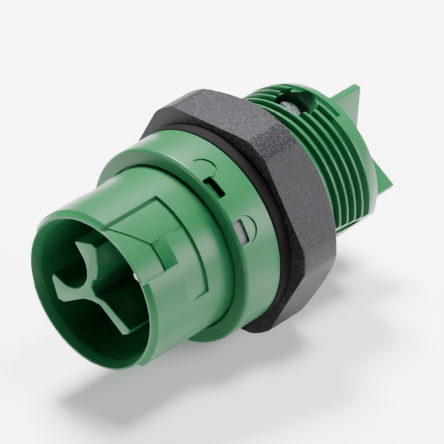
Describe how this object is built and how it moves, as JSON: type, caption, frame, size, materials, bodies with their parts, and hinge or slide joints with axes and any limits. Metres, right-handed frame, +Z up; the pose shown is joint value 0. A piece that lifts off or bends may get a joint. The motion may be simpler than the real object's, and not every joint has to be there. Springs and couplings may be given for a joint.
{
  "type": "lighting connector",
  "caption": "Panel-mounted lighting plug with round latch shroud, keyed contact chambers, padlock-marked collar, lock nut, threaded tube and side-screw wire clamps.",
  "frame": {"origin": "on the connector axis, in the plane of the collar's front face where the mated connector stops", "axes": "+Y along the axis from the mating mouth towards the wire end, +Z up, +X to the right seen from the mating side"},
  "size_m": [0.0332, 0.0517, 0.0308],
  "materials": {
    "green_polyamide": "moulded green polyamide, fine satin skin",
    "black_polyamide": "glass filled black polyamide, dull grained skin",
    "seal_rubber": "black moulded ring rubber",
    "gasket_rubber": "dull black punched sheet rubber",
    "grey_plastic": "moulded grey plastic, satin",
    "silvered_pin": "turned contact, bright silver plate",
    "nickel_plate": "pressed brass with dull nickel plate",
    "zinc_screw": "steel screw with blue passivated zinc",
    "spring_steel": "rolled spring steel leaf"
  },
  "bodies": {
    "shell": {"housing": "green_polyamide", "contact_carrier": "green_polyamide", "wire_divider": "green_polyamide", "carrier_seal": "seal_rubber", "panel_gasket": "gasket_rubber", "earth_pin": "silvered_pin", "earth_clamp_body": "nickel_plate", "line_pin": "silvered_pin", "line_clamp_body": "nickel_plate", "neutral_pin": "silvered_pin", "neutral_clamp_body": "nickel_plate"},
    "nut": {"lock_nut": "black_polyamide"},
    "lock": {"lock_slide": "grey_plastic"},
    "earth_guard": {"earth_wire_guard": "spring_steel"},
    "earth_screw": {"earth_clamp_screw": "zinc_screw"},
    "line_guard": {"line_wire_guard": "spring_steel"},
    "line_screw": {"line_clamp_screw": "zinc_screw"},
    "neutral_guard": {"neutral_wire_guard": "spring_steel"},
    "neutral_screw": {"neutral_clamp_screw": "zinc_screw"}
  },
  "joints": [
    {"name": "nut_turn", "type": "hinge", "parent": "shell", "child": "nut", "pos_m": [0, 0.01196, 0], "axis": [0, 1, 0], "continuous": true},
    {"name": "lock_travel", "type": "hinge", "parent": "shell", "child": "lock", "pos_m": [0, 0.0034, 0], "axis": [0, -1, 0], "range_deg": [0, 28]},
    {"name": "earth_guard_press", "type": "slide", "parent": "shell", "child": "earth_guard", "axis": [-0.5, 0, 0.866], "range_m": [0, 0.0015]},
    {"name": "earth_screw_turn", "type": "hinge", "parent": "earth_guard", "child": "earth_screw", "pos_m": [0.00459, 0.02451, 0.00265], "axis": [-0.5, 0, 0.866], "range_deg": [0, 1080]},
    {"name": "line_guard_press", "type": "slide", "parent": "shell", "child": "line_guard", "axis": [-0.5, 0, -0.866], "range_m": [0, 0.0015]},
    {"name": "line_screw_turn", "type": "hinge", "parent": "line_guard", "child": "line_screw", "pos_m": [-0.00459, 0.02451, 0.00265], "axis": [-0.5, 0, -0.866], "range_deg": [0, 1080]},
    {"name": "neutral_guard_press", "type": "slide", "parent": "shell", "child": "neutral_guard", "axis": [1, 0, 0], "range_m": [0, 0.0015]},
    {"name": "neutral_screw_turn", "type": "hinge", "parent": "neutral_guard", "child": "neutral_screw", "pos_m": [0, 0.02451, -0.0053], "axis": [1, 0, 0], "range_deg": [0, 1080]}
  ],
  "couplings": [
    {"joint": "earth_screw_turn", "follows": "earth_guard_press", "rad_per_m": 12566},
    {"joint": "line_screw_turn", "follows": "line_guard_press", "rad_per_m": 12566},
    {"joint": "neutral_screw_turn", "follows": "neutral_guard_press", "rad_per_m": 12566}
  ]
}
